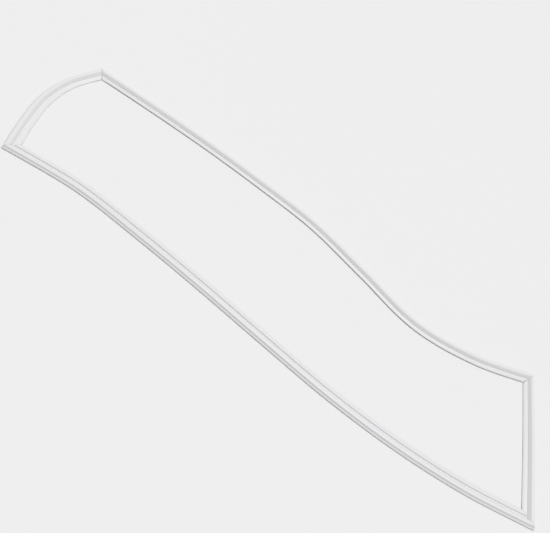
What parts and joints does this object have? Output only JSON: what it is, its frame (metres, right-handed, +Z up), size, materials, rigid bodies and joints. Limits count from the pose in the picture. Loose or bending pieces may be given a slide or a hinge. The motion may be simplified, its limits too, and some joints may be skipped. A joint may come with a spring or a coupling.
{
  "type": "refrigerator door gasket",
  "caption": "Rectangular welded loop of soft hollow profile with a magnet strip in each side, which seals a refrigerator door to its cabinet.",
  "frame": {"origin": "middle of the loop's footprint, on the surface that it lies on", "axes": "+X along the long sides towards the bottom end, +Y from the handle side to the hinge side, +Z up, out of the magnet face"},
  "size_m": [1.551, 0.4534, 0.0102],
  "materials": {
    "soft_pvc": "satin",
    "magnet_rubber": "matte"
  },
  "bodies": {
    "root": {"handle_side_profile": "soft_pvc", "handle_side_magnet": "magnet_rubber", "bottom_end_profile": "soft_pvc", "bottom_end_magnet": "magnet_rubber", "hinge_side_profile": "soft_pvc", "hinge_side_magnet": "magnet_rubber", "top_end_profile": "soft_pvc", "top_end_magnet": "magnet_rubber"}
  },
  "joints": []
}
